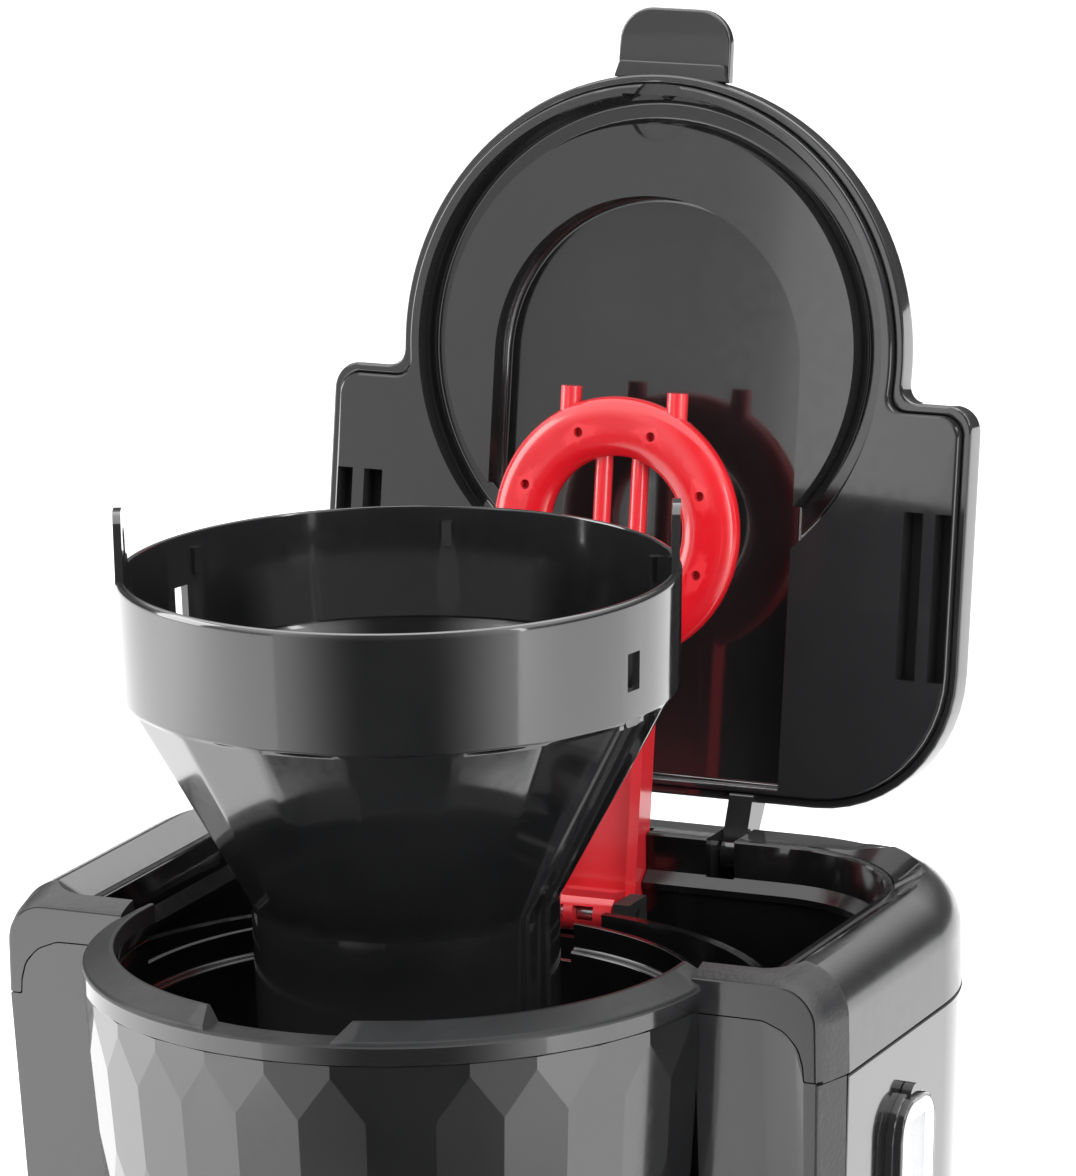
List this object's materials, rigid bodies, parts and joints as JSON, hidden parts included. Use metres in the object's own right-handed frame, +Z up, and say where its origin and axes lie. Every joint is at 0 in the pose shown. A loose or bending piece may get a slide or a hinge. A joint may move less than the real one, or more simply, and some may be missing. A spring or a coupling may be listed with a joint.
{
  "type": "drip coffee maker",
  "caption": "Drip coffee maker with a faceted filter housing, hinged lid, swing-out shower head, lift-out filter basket, glass carafe and warming plate.",
  "frame": {"origin": "centre of the footprint's bounding box, on the surface that the rubber feet stand on", "axes": "+Z up, -Y towards the user, +X to the side that carries the water gauge"},
  "size_m": [0.212, 0.2816, 0.4867],
  "materials": {
    "black_gloss": "glossy moulded plastic",
    "black_matte": "fine matt moulded plastic",
    "satin_grey": "satin, finely textured plastic",
    "red_gloss": "glossy moulded plastic",
    "rubber": "matt",
    "silicone": "matt, slightly translucent",
    "steel": "plain zinc-plated or spring steel",
    "aluminium": "as extruded",
    "plate_coating": "non-stick coating, slightly grained",
    "white_plastic": "natural moulded plastic",
    "glass": "clear borosilicate",
    "gauge_face": "frosted translucent plastic",
    "lamp": "translucent lens"
  },
  "bodies": {
    "body": {"base_cover": "black_matte", "base_screws": "steel", "base_shell": "black_gloss", "bay_wall": "black_gloss", "check_valve": "white_plastic", "column_shell": "black_gloss", "cord_gland": "black_matte", "corner_strip_left": "satin_grey", "corner_strip_right": "satin_grey", "faceted_housing": "black_gloss", "filter_chamber": "black_gloss", "gauge_frame": "black_gloss", "gauge_window": "gauge_face", "heater_clip": "steel", "heater_tube": "aluminium", "housing_floor": "black_matte", "lid_hinge_pins": "steel", "opening_liner": "black_gloss", "pivot_bracket": "black_matte", "pivot_pin": "steel", "plate_seal": "silicone", "power_lamp": "lamp", "riser_hose": "silicone", "riser_tube": "white_plastic", "rubber_feet": "rubber", "shoulder_faces": "black_gloss", "shoulder_panel_left": "black_gloss", "shoulder_panel_right": "black_gloss", "supply_hose": "silicone", "switch_bezel": "black_gloss", "thermal_fuse": "steel", "thermostat": "aluminium", "top_collar": "satin_grey", "warming_plate": "plate_coating", "water_tank": "black_gloss"},
    "lid": {"lid_cover": "black_gloss", "lid_liner": "black_gloss"},
    "head": {"shower_head": "red_gloss"},
    "basket": {"filter_basket": "black_gloss", "drip_spring": "steel"},
    "valve": {"drip_valve": "white_plastic", "drip_seal": "silicone"},
    "carafe": {"carafe_glass": "glass", "carafe_collar": "black_gloss", "carafe_lid": "black_gloss", "carafe_handle": "black_gloss", "handle_screw": "steel"},
    "rocker": {"power_switch": "black_matte"}
  },
  "joints": [
    {"name": "lid_hinge", "type": "hinge", "parent": "body", "child": "lid", "pos_m": [0, 0.0979, 0.2947], "axis": [1, 0, 0], "range_deg": [0, 99.65]},
    {"name": "shower_head_hinge", "type": "hinge", "parent": "body", "child": "head", "pos_m": [0, 0.0712, 0.285], "axis": [1, 0, 0], "range_deg": [0, 99.7]},
    {"name": "basket_lift", "type": "slide", "parent": "body", "child": "basket", "axis": [0, 0, -1], "range_m": [0, 0.1152]},
    {"name": "drip_valve_slide", "type": "slide", "parent": "basket", "child": "valve", "axis": [0, 0, 1], "range_m": [0, 0.004], "stiffness_N_per_m": 120, "springref_m": -0.002, "deforming": ["drip_spring"]},
    {"name": "carafe_slide", "type": "slide", "parent": "body", "child": "carafe", "axis": [0, -1, 0], "range_m": [0, 0.18]},
    {"name": "power_switch_rock", "type": "hinge", "parent": "body", "child": "rocker", "pos_m": [0, -0.1028, 0.0185], "axis": [1, 0, 0], "range_deg": [0, 10]}
  ],
  "couplings": [
    {"joint": "shower_head_hinge", "follows": "lid_hinge", "ratio": 1},
    {"joint": "basket_lift", "follows": "lid_hinge", "m_per_rad": 0.066122}
  ]
}
